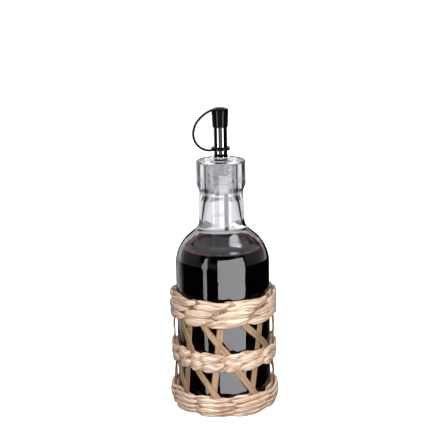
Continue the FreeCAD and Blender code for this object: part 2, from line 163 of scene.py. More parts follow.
# %% A builder of node trees
class NodeTree:
    """Builds the nodes of a material or of the world."""

    def __init__(self, owner):
        owner.use_nodes = True
        self.owner, self.nodes, self.links = owner, owner.node_tree.nodes, owner.node_tree.links

    def node(self, kind, settings=None, inputs=None, output=0):
        made = self.nodes.new(kind)
        for key, value in (settings or {}).items():
            setattr(made, key, value)
        for key, value in (inputs or {}).items():
            self.feed(made.inputs[key], value)
        return Wire(self, made.outputs[output])

    def feed(self, socket, value):
        if isinstance(value, Wire):
            self.links.new(value.socket, socket)
        else:
            socket.default_value = value

    def mix(self, factor, first, second):
        """A colour between two colours."""
        inputs = {0: factor, 6: first, 7: second}
        return self.node("ShaderNodeMix", {"data_type": "RGBA"}, inputs, output=2)

    def object_place(self):
        """The place of a point in the object's own metres."""
        return self.node("ShaderNodeTexCoord", output="Object")

    def axes(self, vector):
        """The three numbers of a vector."""
        x = self.node("ShaderNodeSeparateXYZ", inputs={0: vector})
        return x, x.beside("Y"), x.beside("Z")


print("one method makes every node")

# %% [markdown]
# ## Materials
# A finish starts as Blender's Principled shader with a few constants set on its own sockets.
# Light that comes from a card or a wall of the studio has no surface, so its material is an
# Emission shader alone. Colours of natural things are given as they show on a screen, and
# are turned into the linear values that the shader works with.

# %% Start a finish or a light
def finish_of(name, **constants):
    """A new material's tree and its Principled shader, with the given constants set on it."""
    tree = NodeTree(bpy.data.materials.new(name))
    shader = tree.nodes["Principled BSDF"]
    for key, value in constants.items():
        shader.inputs[key.replace("_", " ")].default_value = value
    return tree, shader


def light_of(name):
    """A new material's tree without a surface, for a thing that only shines."""
    tree = NodeTree(bpy.data.materials.new(name))
    tree.nodes.remove(tree.nodes["Principled BSDF"])
    return tree


def shine(tree, tint, strength):
    glow = tree.node("ShaderNodeEmission", inputs={"Color": tint, "Strength": strength})
    tree.feed(tree.nodes["Material Output"].inputs["Surface"], glow)


def rgb(red, green, blue):
    """A linear colour from 0-255 display values."""
    return tuple((v / 255.0) ** 2.2 for v in (red, green, blue)) + (1.0,)


print("pale rush in linear values:", [round(v, 2) for v in rgb(241, 218, 199)[:3]])

# %% [markdown]
# ## Sky
# The set is white all round, but glossy things would lose their shape in it. In a studio,
# black cloths and bright cards are hung for them. The sky does the same by asking what kind
# of ray has come: the eye and clear glass see white, and reflections see a dark room with a
# bright patch behind on the left, one overhead and one far back.

# %% Sky
def reflected_room(x, y, z):
    """How bright a reflection finds the room in a direction."""
    back_left = (0.0 - x).between(0.30, 0.50) * y.between(0.30, 0.75)
    overhead = z.between(0.35, 0.9) * y.between(-0.6, 0.6)
    far_back = y.between(0.80, 0.92) * z.between(0.12, 0.22)
    return 0.004 + 0.9 * back_left + 0.5 * overhead + 1.3 * far_back


world = bpy.data.worlds.new("studio_sky")
bpy.context.scene.world = world
tree = NodeTree(world)
x, y, z = tree.axes(tree.node("ShaderNodeTexCoord", output="Generated"))
seen_plainly = tree.node("ShaderNodeLightPath", output="Is Camera Ray")
seen_through_glass = seen_plainly.beside("Is Transmission Ray")
reflected = seen_plainly.beside("Is Glossy Ray") * (1.0 - seen_through_glass)

strength = seen_plainly + seen_through_glass * 0.9 + reflected * reflected_room(x, y, z)
rest = (1.0 - seen_plainly) * (1.0 - seen_through_glass) * (1.0 - reflected)
soft = 0.28 + 0.2 * z
background = tree.nodes["Background"]
background.inputs["Color"].default_value = (1.0, 1.0, 1.0, 1.0)
tree.feed(background.inputs["Strength"], strength + rest * soft)
print("sky of", len(tree.nodes), "nodes")

# %% [markdown]
# ## Floor
# The bottle stands on white paper. A real sweep of paper curves up behind the object. Here a
# large flat sheet is enough, because it shines a little by itself and so meets the white sky
# without an edge. The small helpers that turn a bmesh into an object are needed from here on.

# %% Floor
FLOOR_SIZE = 12.0


def link(name, mesh, material=None):
    """A new object for a finished mesh, at the origin and unturned."""
    made = bpy.data.objects.new(name, mesh)
    bpy.context.scene.collection.objects.link(made)
    if material is not None:
        mesh.materials.append(material)
    return made


def mesh_from(bm, name):
    """Writes a bmesh to a new smooth mesh, and frees it."""
    mesh = bpy.data.meshes.new(name)
    for face in bm.faces:
        face.smooth = True
    bm.to_mesh(mesh)
    bm.free()
    return mesh


bm = bmesh.new()
bmesh.ops.create_grid(bm, x_segments=1, y_segments=1, size=FLOOR_SIZE)
tree, shader = finish_of(
    "floor_paper", Roughness=0.9, Specular_IOR_Level=0.0, Emission_Strength=0.86
)
shader.inputs["Emission Color"].default_value = (1.0, 1.0, 1.0, 1.0)
grain = tree.node("ShaderNodeTexNoise", inputs={"Scale": 3.0})
paper = tree.mix(grain, (0.93, 0.93, 0.935, 1), (0.95, 0.95, 0.955, 1))
tree.feed(shader.inputs["Base Color"], paper)
floor = link("floor", mesh_from(bm, "floor"), tree.owner)
floor.visible_glossy = floor.visible_diffuse = False
print("floor", 2 * FLOOR_SIZE, "m wide")

# %% [markdown]
# ## Cards
# The upright stripes on the body, the tube and the cap are reflections of lit cards. Light
# panels could be painted into the sky, but the body and the tube need different ones, so
# each is a real curved card at its own distance, seen by reflections alone. An upright line
# is spun round the axis through the angle that the card takes up.

# %% Bright cards that only reflections see
CARD_TINT, CARD_STEPS = (0.97, 0.97, 1.0, 1.0), 12


def spun_wall(name, distance, heights, first, last, steps, material):
    """An upright wall between two angles from the front, with the right positive."""
    bm = bmesh.new()
    turn = Matrix.Rotation(math.radians(first), 3, "Z")
    places = [turn @ Vector((0, -distance, z)) for z in heights]
    ends = [bmesh.ops.create_vert(bm, co=place)["vert"][0] for place in places]
    edge = bm.edges.new(ends)
    bmesh.ops.spin(
        bm, geom=[*ends, edge], cent=(0, 0, 0), axis=(0, 0, 1),
        angle=math.radians(last - first), steps=steps, use_merge=last - first == 360,
    )
    return link(name, mesh_from(bm, name), material)


def card(name, angles, heights, strength, distance):
    tree = light_of(name + "_light")
    shine(tree, CARD_TINT, strength)
    made = spun_wall(name, distance, heights, *angles, CARD_STEPS, tree.owner)
    made.visible_camera = made.visible_diffuse = made.visible_transmission = False
    made.visible_shadow = made.visible_volume_scatter = False


BODY_CARDS, SPOUT_CARDS = (-0.030, 0.150), (0.090, 0.170)
card("body_card", (-10, 47), BODY_CARDS, 6.8, 0.10)
card("body_strip", (-41, -33), BODY_CARDS, 5.0, 0.10)
card("spout_card_left", (-50, -34), SPOUT_CARDS, 3.5, 0.30)
card("spout_card_middle", (-30, 32), SPOUT_CARDS, 0.10, 0.30)
card("spout_card_right", (35, 51), SPOUT_CARDS, 4.0, 0.30)
print("five cards placed")

# %% [markdown]
# ## The wall behind the glass
# Clear glass has no colour of its own; it shows what stands round it, bent. Near an edge it
# bends the view far to the side, so black boards that stand just out of view draw the dark
# lines along the neck. Boards would also be mirrored by the cap and the steel, so a round
# wall that only the view through glass sees takes their place. It is bright straight back,
# and grey and then black to the sides. Low down, behind the body, it is duller and its
# boards are fainter. High up it is veiled, but for one window, which the vinegar's surface
# mirrors as its highlight.

# %% The wall that is seen through the glass
WALL_R, WALL_TOP, WALL_TINT = 0.20, 0.45, (0.94, 0.94, 1.0, 1.0)
# Where each tone sets in and is full: turns off the back in radians, then places in metres.
GREY, BOARD, BOARD_FADES = (0.15, 0.60), (0.70, 0.80), (0.95, 1.10)
FRONT_BOARD, CENTRE = (0.50, 0.68), (0.25, 0.35)
BEHIND, BESIDE = (0.0, 0.05), (-0.05, 0.0)
BODY_TOP, VEIL_FOOT, VEIL_TOP = (0.118, 0.126), (0.152, 0.162), (0.185, 0.200)
WINDOW_LEFT, WINDOW_RIGHT = (0.008, 0.012), (0.020, 0.026)
WINDOW_FOOT, WINDOW_TOP = (0.160, 0.165), (0.200, 0.215)


def wall_level(x, y, z):
    """How bright the wall is at a place."""
    off_back = (x.absolute() / WALL_R).arcsine()
    behind = y.between(*BEHIND)
    in_front = 1.0 - y.between(*BESIDE)
    low = 1.0 - z.between(*BODY_TOP)

    grey = 0.95 - 0.25 * off_back.between(*GREY)
    boards = off_back.between(*BOARD) * (1.0 - 0.6 * off_back.between(*BOARD_FADES))
    black = boards.larger(in_front * (1.0 - off_back.between(*FRONT_BOARD)))

    centre = (1.0 - off_back.between(*CENTRE)) * behind
    veil = (centre * 0.6 * z.between(*VEIL_FOOT)).larger(0.75 * z.between(*VEIL_TOP))
    window = x.between(*WINDOW_LEFT) * (1.0 - x.between(*WINDOW_RIGHT)) * behind
    high = 1.0 - veil + 4.0 * window * z.between(*WINDOW_FOOT) * (1.0 - z.between(*WINDOW_TOP))
    return grey * (1.0 - black * (0.99 - 0.5 * low)) * (1.0 - 0.45 * low) * high


tree = light_of("backdrop_light")
shine(tree, WALL_TINT, wall_level(*tree.axes(tree.object_place())))
backdrop = spun_wall("backdrop", WALL_R, (0.0, WALL_TOP), 0, 360, 96, tree.owner)
backdrop.visible_camera = backdrop.visible_diffuse = backdrop.visible_glossy = False
backdrop.visible_shadow = backdrop.visible_volume_scatter = False
print("wall of", len(backdrop.data.polygons), "faces")

# %% [markdown]
# ## Soft lights
# The rush is matt, so it needs light with a direction for its folds to show. One large lamp
# stands over the camera, a weak one overhead and one behind, so that the back isn't lost.
# Reflections don't see them, because the cards already draw the highlights.

# %% Soft lights for the rush
LIGHT_AIM = Vector((0, 0, 0.08))


def soft_light(name, place, size, power):
    data = bpy.data.lights.new(name, "AREA")
    data.size = size
    data.energy = power
    data.color = (1.0, 0.985, 0.965)
    made = bpy.data.objects.new(name, data)
    made.location = place
    made.rotation_mode = "QUATERNION"
    made.rotation_quaternion = (LIGHT_AIM - Vector(place)).to_track_quat("-Z", "Y")
    made.visible_glossy = made.visible_camera = False
    bpy.context.scene.collection.objects.link(made)


soft_light("key", (0.05, -1.0, 0.6), 0.4, 16.0)
soft_light("top", (0.0, 0.1, 1.3), 0.9, 3.0)
soft_light("back", (0.1, 1.0, 0.7), 0.4, 4.0)
print("three soft lights")

# %% [markdown]
# ## Glass
# Moulded glass is clear, with slow waves where it cooled against the mould. Modelled waves
# would cost many faces, and noise that tilts the surface's normal does the same for light.

# %% Glass finish
tree, shader = finish_of("glass", Roughness=0.0, IOR=1.5, Transmission_Weight=1.0)
shader.inputs["Base Color"].default_value = (0.985, 0.99, 0.992, 1.0)
place = tree.object_place()
waves = tree.node("ShaderNodeTexNoise", inputs={"Vector": place, "Scale": 28.0, "Detail": 1.0})
dents = {"Strength": 0.25, "Distance": 0.0002, "Height": waves}
tree.feed(shader.inputs["Normal"], tree.node("ShaderNodeBump", inputs=dents))
glass = tree.owner
print("glass made")

# %% [markdown]
# ## Pieces turned on a lathe
# The bottle, the vinegar and the pourer are round. Each is made as a turner would: the few
# corners of its outline are joined, the corners are rounded with a bevel, and the outline is
# spun once round the axis. A Screw modifier could spin it too, but then the outline's
# roundings would have to be worked out by hand.

# %% Lathe
AROUND, ROUNDING_STEPS, LONGEST_EDGE = 128, 10, 4.0


def outline(bm, corners):
    """Joins corners given as (radius, height, rounding) in millimetres, and rounds them."""
    places = [(r * MM, 0, z * MM) for r, z, _ in corners]
    points = [bmesh.ops.create_vert(bm, co=place)["vert"][0] for place in places]
    for first, second in zip(points, points[1:]):
        bm.edges.new((first, second))
    for point, (_, _, rounding) in zip(points, corners):
        if rounding:
            ways = [(e.other_vert(point).co - point.co).normalized() for e in point.link_edges]
            half_turn = 0.5 * (math.pi - ways[0].angle(ways[1]))
            bmesh.ops.bevel(
                bm, geom=[point], offset=rounding * MM * math.tan(half_turn),
                offset_type="OFFSET", segments=ROUNDING_STEPS, profile=0.5,
                affect="VERTICES", material=-1,
            )
    for edge in bm.edges[:]:
        cuts = int(edge.calc_length() / (LONGEST_EDGE * MM))
        if cuts:
            bmesh.ops.subdivide_edges(bm, edges=[edge], cuts=cuts)
    return bm


def turned(name, corners, material):
    """A closed lathe piece from corners that start and end on the axis or meet each other."""
    bm = outline(bmesh.new(), corners)
    bmesh.ops.spin(
        bm, geom=bm.verts[:] + bm.edges[:], cent=(0, 0, 0), axis=(0, 0, 1),
        angle=2 * math.pi, steps=AROUND, use_merge=True,
    )
    bmesh.ops.remove_doubles(bm, verts=bm.verts, dist=1e-6)
    bmesh.ops.recalc_face_normals(bm, faces=bm.faces)
    return link(name, mesh_from(bm, name), material)


print("lathe of", AROUND, "steps")

# %% [markdown]
# ## In the place of a solid
# The construction model has plain solids. A finished piece hides the one that it replaces,
# and belongs to the same body.

# %% Stand in for a solid
def stand_in(piece, node):
    """The piece replaces a solid of the construction model and rides with it."""
    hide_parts(node)
    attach(piece, "root")
    return piece


print(len(nodes), "solids to dress")

# %% [markdown]
# ## Bottle
# The outline runs from the dimple under the foot up the outside, over the lip, and down the
# inside. The wall is thick, as moulded glass is. The inside of the neck opens slowly towards
# the shoulder, and that slope carries the dark lines outwards on their way down.

# %% Bottle
BODY_R, WALL, HEIGHT, FLOOR = 32.75, 3.0, 175.0, 6.0
LIP_R, BORE_R = 17.0, 9.25
BOTTLE_CORNERS = (
    (0, 2.2, 0), (23.0, 0.0, 2.0), (BODY_R, 0.0, 4.0), (BODY_R, 114.49, 24.0),
    (16.0, 128.55, 8.0), (15.2, 153.8, 1.0), (LIP_R, 158.0, 1.0), (LIP_R, HEIGHT, 1.4),
    (BORE_R, HEIGHT, 0.8), (BORE_R, 151.0, 2.0), (10.6, 147.0, 16.0), (13.5, 131.5, 11.0),
    (BODY_R - WALL, 113.09, 21.0), (BODY_R - WALL, FLOOR, 5.0), (0, FLOOR, 0),
)
bottle = stand_in(turned("bottle_glass", BOTTLE_CORNERS, glass), "glass_bottle")
print("bottle of", len(bottle.data.polygons), "faces")

# %% [markdown]
# ## The vinegar's outline
# A liquid in glass has no skin of its own: glass and liquid touch. If the piece ended at the
# wall, a thin layer of air would shine between them, so it reaches a little way into the
# glass. Its edge creeps up the wall in a narrow rim, as a wetting liquid does.

# %% Outline of the vinegar
FILL, SINK, RIM = 113.0, 0.15, 0.8
SHOULDER_Z, SHOULDER_R = 103.3, 24.0
side_r = BODY_R - WALL + SINK
round_r = SHOULDER_R - WALL + SINK


def wall_corners(top, steps=6):
    """Corners along the inner shoulder, from its foot up to a height."""
    last = math.asin((top - SHOULDER_Z) / round_r)
    turns = [last * step / steps for step in range(steps + 1)]
    middle_r = side_r - round_r
    return [
        (middle_r + round_r * math.cos(t), SHOULDER_Z + round_r * math.sin(t), 0) for t in turns
    ]


rim_corners = wall_corners(FILL + RIM)
rim_r = rim_corners[-1][0]
VINEGAR_CORNERS = (
    (0, FLOOR - SINK, 0), (side_r, FLOOR - SINK, 5.0), *rim_corners,
    (rim_r - 0.3, FILL + RIM - 0.05, 0.1), (rim_r - 0.9, FILL, 1.0), (0, FILL, 0),
)
print("vinegar's rim at", round(rim_r, 1), "mm")

# %% [markdown]
# ## The vinegar's finish
# Dark vinegar lets no light through, and the film at its edge is thin enough to show red
# brown. A true absorbing liquid would need many bounces of light for a body that ends up
# black, so the piece is opaque: nearly black, with the film's colour worked out from the
# height and from the distance to the wall. Only the free surface is glossy. Where the
# vinegar touches the glass the two hardly differ for light, so that side has no gloss.

# %% Side and surface of the vinegar
FILM = (0.26, 0.075, 0.038, 1)


def film_of(tree):
    """1 where the liquid is only a film on the wall above its level."""
    height = tree.axes(tree.object_place())[2]
    return height.between((FILL + 0.1) * MM, (FILL + 1.2) * MM)


tree, shader = finish_of("vinegar_side", Roughness=0.6, Specular_IOR_Level=0.0)
cloud = tree.node("ShaderNodeTexNoise", inputs={"Vector": tree.object_place(), "Scale": 20.0})
dark = tree.mix(cloud, (0.0006, 0.0004, 0.0004, 1), (0.0016, 0.0008, 0.0006, 1))
tree.feed(shader.inputs["Base Color"], tree.mix(film_of(tree), dark, FILM))
vinegar_side = tree.owner

tree, shader = finish_of("vinegar_surface", Roughness=0.03, IOR=1.34)
place = tree.object_place()
x, y, _ = tree.axes(place)
uneven = tree.node("ShaderNodeTexNoise", inputs={"Vector": place, "Scale": 140.0})
from_axis = (x * x + y * y) ** 0.5
near_rim = (from_axis + 0.13 * y + 0.012 * (uneven - 0.5)).between(0.0262, 0.0274)
film = near_rim.larger(film_of(tree))
tree.feed(shader.inputs["Base Color"], tree.mix(film, (0.002, 0.001, 0.001, 1), FILM))
ripple = tree.node("ShaderNodeTexNoise", inputs={"Vector": place, "Scale": 60.0})
dents = {"Strength": 0.1, "Distance": 0.0002, "Height": ripple}
tree.feed(shader.inputs["Normal"], tree.node("ShaderNodeBump", inputs=dents))
vinegar_surface = tree.owner
print("two finishes for the vinegar")

# %% [markdown]
# ## The vinegar itself
# It is turned like the bottle. Then the rim is made to creep up unevenly: noise lifts its
# points along the slope of the wall, more at the back than at the front.

# %% Vinegar
CREEP, CREEP_INWARDS, CREEP_GRAIN = 2.7, 0.6, 220.0

vinegar = stand_in(turned("vinegar_body", VINEGAR_CORNERS, vinegar_side), "vinegar")
for vert in vinegar.data.vertices:
    if vert.co.z > (FILL + 0.3) * MM:
        uneven = 1.5 * noise.noise(CREEP_GRAIN * vert.co) + 0.2 + 26.0 * vert.co.y
        rise = CREEP * MM * max(0.0, uneven)
        vert.co.x -= vert.co.x * CREEP_INWARDS * rise / (rim_r * MM)
        vert.co.y -= vert.co.y * CREEP_INWARDS * rise / (rim_r * MM)
        vert.co.z += rise

vinegar.data.materials.append(vinegar_surface)
for face in vinegar.data.polygons:
    inside_rim = math.hypot(*face.center.xy) < (rim_r - 0.2) * MM
    if face.normal.z > 0.3 and face.center.z > 0.99 * FILL * MM and inside_rim:
        face.material_index = 1
print("vinegar up to", FILL, "mm")

# %% [markdown]
# ## The sleeve's plan
# Eight strips of split reed stand round the bottle. Each is folded over at the top: one leg
# goes up nearly straight, the other comes down on a slant and meets the foot two strips on.
# Three bands of twined rush hold them. The plan is a table of the angle of each leg at the
# heights where it enters and leaves a band, in degrees from the front and growing to the
# right, because a basket maker too places the strips first and weaves round them.

# %% Sizes of the sleeve
INNER_R, UPRIGHT_R, SLANT_R, FRONT_R = 33.0, 34.4, 35.2, 36.0
BACK_THICK, STRIP_WIDTH, STRIP_THICK, STRIP_FOOT, SLEEVE_TOP = 1.2, 4.7, 0.6, 1.2, 84.4
UPRIGHT_FOOT = (-16.0, 28.0, 76.0, 122.0, 168.0, 214.0, 258.0, 308.0)
UPRIGHT_TOP = (0.0, 52.0, 98.0, 142.0, 186.0, 230.0, 274.0, 321.0)
SLANT_LEAVES_TOP = (24.0, 74.0, 118.0, 163.0, 207.0, 253.0, 306.0, 337.0)
SLANT_MEETS_MIDDLE = (58.0, 102.0, 147.0, 192.0, 236.0, 284.0, 323.0, 363.5)
SLANT_LEAVES_MIDDLE = (68.0, 110.0, 156.0, 201.0, 246.0, 296.0, 328.0, 374.0)
SLANT_MEETS_BASE = (92.0, 134.0, 180.0, 226.0, 270.0, 312.0, 352.0, 397.0)
SLANT_HEIGHTS = (STRIP_FOOT, 14.45, 34.2, 46.0, 66.2, SLEEVE_TOP)
FOOT_LAG, TOP_LEAD = 4.0, 11.0
SPOKES = len(UPRIGHT_FOOT)
print(SPOKES, "strips planned")

# %% [markdown]
# Between two heights of the table a leg runs straight, so its angle can be read at any
# height. A curve through the heights would look softer, but split reed is stiff.

# %% Angle of a leg at a height
def in_steps(values, heights, z):
    """A value at a height, straight between the given heights."""
    z = min(max(z, heights[0]), heights[-1])
    for low, high, first, second in zip(heights, heights[1:], values, values[1:]):
        if z <= high:
            return first + (second - first) * (z - low) / (high - low)


def upright_angle(spoke, z):
    """Angle of the upright leg; spokes past the last start a second round."""
    around, k = divmod(spoke, SPOKES)
    return 360.0 * around + in_steps((UPRIGHT_FOOT[k], UPRIGHT_TOP[k]), (0.0, SLEEVE_TOP), z)


def slant_angle(spoke, z):
    """Angle of the slanting leg."""
    around, k = divmod(spoke, SPOKES)
    values = (
        SLANT_MEETS_BASE[k] + FOOT_LAG, SLANT_MEETS_BASE[k], SLANT_LEAVES_MIDDLE[k],
        SLANT_MEETS_MIDDLE[k], SLANT_LEAVES_TOP[k], UPRIGHT_TOP[k] + TOP_LEAD,
    )
    return 360.0 * around + in_steps(values, SLANT_HEIGHTS, z)


print("the first strip's slant runs from", slant_angle(0, SLEEVE_TOP), "to", slant_angle(0, 0))

# %% [markdown]
# ## The rows
# In a twined row two leaves go round together, one in front of the strips and one behind,
# and change places between one group of strips and the next. A row takes its strips as an
# upright with the slant beside it, one by one, or, at the very top, by their folds. Where
# the leaves change places follows from the gap between two groups at that height, so the
# weave still fits when a strip is moved.

# %% Rows of the three bands
PAIRS, FOLDS, SINGLES = "pairs", "folds", "singles"
# Each band: its foot, the height of a row, how far the slanting legs have moved on, and its
# rows from the foot up: thickness in front, how the strips are taken, and where it crosses.
BANDS = {
    "base": (0.95, 3.4, 2, (
        (1.1, PAIRS, 0.45), (2.3, PAIRS, 0.35), (2.7, PAIRS, 0.5), (2.2, PAIRS, 0.4),
    )),
    "middle": (34.2, 5.9, 1, ((1.25, SINGLES, 0.15), (1.25, SINGLES, 0.15))),
    "top": (66.2, 5.6, 0, ((1.6, PAIRS, 0.15), (1.8, PAIRS, 0.7), (1.6, FOLDS, 0.5))),
}
AFTER_UPRIGHT = 0.5


def taken(angle_at, z, row_height):
    """The angles that a strip takes up while it passes through a row."""
    slope = math.radians(angle_at(z + 0.5) - angle_at(z - 0.5)) * SLANT_R
    reach = 0.5 * STRIP_WIDTH * math.hypot(1.0, slope) + 0.5 * row_height * abs(slope)
    reach = math.degrees(reach / SLANT_R)
    return angle_at(z) - reach, angle_at(z) + reach


def groups(z, row_height, shift, manner):
    """Start, end and last strip of every group of strips that a row takes."""
    found = []
    for spoke in range(SPOKES):
        upright = taken(lambda height: upright_angle(spoke, height), z, row_height)
        slant = taken(lambda height: slant_angle(spoke - shift, height), z, row_height)
        following = taken(lambda height: upright_angle(spoke + 1, height), z, row_height)
        if manner == PAIRS:
            found.append((min(upright[0], slant[0]), max(upright[1], slant[1]), "slant"))
        elif manner == FOLDS:
            found.append((slant[0], following[1], "upright"))
        else:
            found += [(*upright, "upright"), (*slant, "slant")]
    return found


def crossings(z, row_height, shift, manner, after_slant):
    """The angles where a row's leaves change places, once round and back to the first."""
    found = groups(z, row_height, shift, manner)
    places = []
    for (_, end, last), (start, _, _) in zip(found, found[1:] + [(found[0][0] + 360.0, 0, 0)]):
        places.append(end + (after_slant if last == "slant" else AFTER_UPRIGHT) * (start - end))
    return [places[-1] - 360.0] + places


print("the top row crosses at", [round(a) for a in crossings(80.2, 5.6, 0, FOLDS, 0.5)][:4])

# %% [markdown]
# ## Drawing out a leaf or a strip
# Both are drawn out round the sleeve. A curve with a bevel object could do it, but a leaf
# changes its width and thickness all the time and needs folds that follow it. So one ring
# of points is shaped, then extruded and moved from frame to frame. A frame holds the place,
# the thickness and the height of the section there. Each point keeps its place across the
# leaf in an attribute, which the fibres of the finish follow.

# %% Frames
def placed(columns, place):
    """A matrix from three directions in metres and a place in millimetres."""
    made = Matrix(columns).transposed().to_4x4()
    made.translation = MM * place
    return made


def frame_at(angle, radius, z, thick, height, roll=0.0, rise=0.0):
    """Frame of a section on the sleeve: X out, Y up across the leaf, Z along it."""
    turn = math.radians(angle)
    out = Vector((math.sin(turn), -math.cos(turn), 0))
    level = Vector((math.cos(turn), math.sin(turn), 0))
    ahead = math.cos(rise) * level + math.sin(rise) * Vector((0, 0, 1))
    across = ahead.cross(out) * -1.0
    columns = (0.5 * thick * MM * out, 0.5 * height * MM * across, MM * ahead)
    return placed(columns, radius * out + Vector((0, 0, z))) @ Matrix.Rotation(roll, 4, "Z")


quarter = frame_at(90.0, SLANT_R, 10.0, 1.0, 1.0).translation
print("a quarter turn to the right lies at", [round(v / MM, 1) for v in quarter], "mm")

# %% [markdown]
# The sweep starts from a circle, which is shaped and moved to the first frame. Every next
# ring is extruded from the last one and moved by the step from frame to frame. A leaf closes
# on itself with a bridge between its two ends, and a strip gets a face at either end.

# %% Sweep
def next_ring(bm, edges):
    """Extrudes a ring of edges; gives the new points and the new edges among them."""
    made = bmesh.ops.extrude_edge_only(bm, edges=edges)["geom"]
    ring = [item for item in made if isinstance(item, bmesh.types.BMVert)]
    fresh = set(ring)
    made_edges = [item for item in made if isinstance(item, bmesh.types.BMEdge)]
    return ring, [edge for edge in made_edges if fresh.issuperset(edge.verts)]


def swept(name, frames, material, points, shape, closed):
    """A piece drawn out through the frames; shape moves each point of the first ring."""
    bm = bmesh.new()
    across = bm.verts.layers.float.new("across")
    circle = bmesh.ops.create_circle(bm, cap_ends=False, segments=points, radius=1.0)
    ring = circle["verts"]
    for place, vert in enumerate(ring):
        vert.co, vert[across] = shape(place / points)
    edges = first_edges = bm.edges[:]
    bmesh.ops.transform(bm, matrix=frames[0], verts=ring)
    for before, frame in zip(frames, frames[1:]):
        ring, edges = next_ring(bm, edges)
        bmesh.ops.transform(bm, matrix=frame @ before.inverted(), verts=ring)
    if closed:
        bmesh.ops.bridge_loops(bm, edges=first_edges + edges)
    else:
        bmesh.ops.contextual_create(bm, geom=first_edges)
        bmesh.ops.contextual_create(bm, geom=edges)
    bmesh.ops.recalc_face_normals(bm, faces=bm.faces)
    return link(name, mesh_from(bm, name), material)


print("a ring of points can be drawn out through any frames")

# %% [markdown]
# ## Finish of the rush and the reed
# Dry leaf has long fine fibres, creases and a slow change of colour along it. A drawn
# pattern of straw would need unwrapping and would repeat itself, so noise is used: squeezed
# across the leaf and stretched round the sleeve, it turns into fibres. A line where a
# second, wider noise passes its middle value makes a crease, which is sunk, and darkened
# as painted shade.

# %% Fibre finish
ROUND_SCALE, UP_SCALE = 110.0, 40.0


def fibre_finish(name, pale, tan, dark_tone_and_crease_shade, streaks, relief):
    """Dry leaf in three tones, the darkest also painted shade in the creases; streaks sets how
    many fibres lie side by side.
    """
    tree, shader = finish_of(name, Roughness=0.5, Specular_IOR_Level=0.5)
    place = tree.object_place()
    x, y, z = tree.axes(place)
    across = tree.node("ShaderNodeAttribute", {"attribute_name": "across"}, output="Fac")
    side_by_side = across * streaks + z * UP_SCALE
    drawn_out = {0: x * ROUND_SCALE, 1: y * ROUND_SCALE, 2: side_by_side}
    squeezed = tree.node("ShaderNodeCombineXYZ", inputs=drawn_out)
    fine = {"Vector": squeezed, "Scale": 0.5, "Detail": 4.0}
    fibres = tree.node("ShaderNodeTexNoise", inputs=fine)
    wide = {"Vector": squeezed, "Scale": 0.22, "Detail": 1.0}
    folded = tree.node("ShaderNodeTexNoise", inputs=wide)
    broad = tree.node("ShaderNodeTexNoise", inputs={"Vector": place, "Scale": 90.0})
    creases = 1.0 - (folded - 0.5).absolute().between(0.0, 0.05)

    colour = tree.mix(fibres.between(0.38, 0.64), pale, tan)
    colour = tree.mix(broad.between(0.48, 0.7) * 0.5, colour, dark_tone_and_crease_shade)
    # Painted shade: the creases are darkened towards the third tone, as if shadow lay in the
    # folds.
    colour = tree.mix(creases * 0.75, colour, dark_tone_and_crease_shade)
    tree.feed(shader.inputs["Base Color"], colour)
    tree.feed(shader.inputs["Roughness"], 0.36 + 0.3 * fibres)
    height = fibres * 0.5 + folded - creases * 0.5
    dents = {"Strength": 0.8, "Distance": relief, "Height": height}
    tree.feed(shader.inputs["Normal"], tree.node("ShaderNodeBump", inputs=dents))
    return tree.owner


# Each takes a pale, a tan and a darker tone; the darker tone marks random broad patches and is
# the painted shade in the creases.
rush = fibre_finish(
    "rush_leaf", rgb(241, 218, 199), rgb(213, 178, 149), rgb(154, 113, 83), 9.0, 0.0011
)
reed = fibre_finish(
    "split_reed", rgb(164, 134, 103), rgb(137, 105, 73), rgb(106, 78, 53), 5.0, 0.0005
)
print("rush and reed made")

# %% [markdown]
# ## Twined rows
# A leaf bulges where it lies in front of the strips. Between two groups it narrows and dives
# behind, and the other leaf comes up above it. Each leaf leans a little, and its pleats wind
# round it. All the leaves come from one function that walks round the sleeve and gives the
# frames, so that no two bulges are quite alike and yet every one passes its strips.

# %% One leaf
CROSS_LENGTH, LEAN, PLEATS, PLEAT_DEPTH, LEAF_POINTS = 3.0, 0.27, 6, 0.14, 36
NARROW, BULGE, WAVE, DRIFT = 0.44, 0.64, 0.25, 0.3


def leaf_shape(share):
    """A flattened round with narrow folds along the leaf."""
    turn = 2 * math.pi * share
    swell = 1.03 - PLEAT_DEPTH * max(0.0, math.cos(PLEATS * turn)) ** 5
    out, up = math.cos(turn), math.sin(turn)
    return Vector((swell * math.copysign(abs(out) ** 0.7, out), swell * up, 0)), 5.0 * share


def leaf_frame(z, row_height, front_thick, span, share, side, seed):
    """Frame of a leaf at a share of the way from one crossing to the next."""
    start, end = span
    angle = start + share * (end - start)
    room = min(share, 1 - share) * math.radians(end - start) * FRONT_R / CROSS_LENGTH
    out = min(1.0, room) ** 2 * (3 - 2 * min(1.0, room))
    front_mid, back_mid = FRONT_R + 0.5 * front_thick, INNER_R + 0.5 * BACK_THICK
    cross_r, cross_thick = 0.5 * (front_mid + back_mid), 0.5 * (front_thick + BACK_THICK)
    radius = cross_r + out * ((front_mid if side > 0 else back_mid) - cross_r)
    thick = cross_thick + out * ((front_thick if side > 0 else BACK_THICK) - cross_thick)
    height = row_height * (NARROW + BULGE * math.sin(math.pi * share) ** 0.6)
    lean = LEAN * row_height * (2 * share - 1) * side
    drift = noise.noise(Vector((0.05 * angle, seed, 0.3 * z)))
    level = z + lean + WAVE * math.sin(math.radians(3 * angle) + z) + DRIFT * drift
    roll = side * 0.5 * math.sin(2 * math.pi * share) + 0.6 * drift
    return frame_at(angle, radius + 0.15 * drift, level, thick, height, roll)


print("a leaf has", LEAF_POINTS, "points round its section")

# %% [markdown]
# The rows are then laid band by band from the foot up, with two leaves to a row. The second
# leaf of a row takes the same way as the first, with front and back exchanged. One leaf could
# be copied and turned, but each row has its own crossings, so every leaf is drawn anew.

# %% Leaves of rush
STATIONS = {PAIRS: 18, FOLDS: 18, SINGLES: 10}


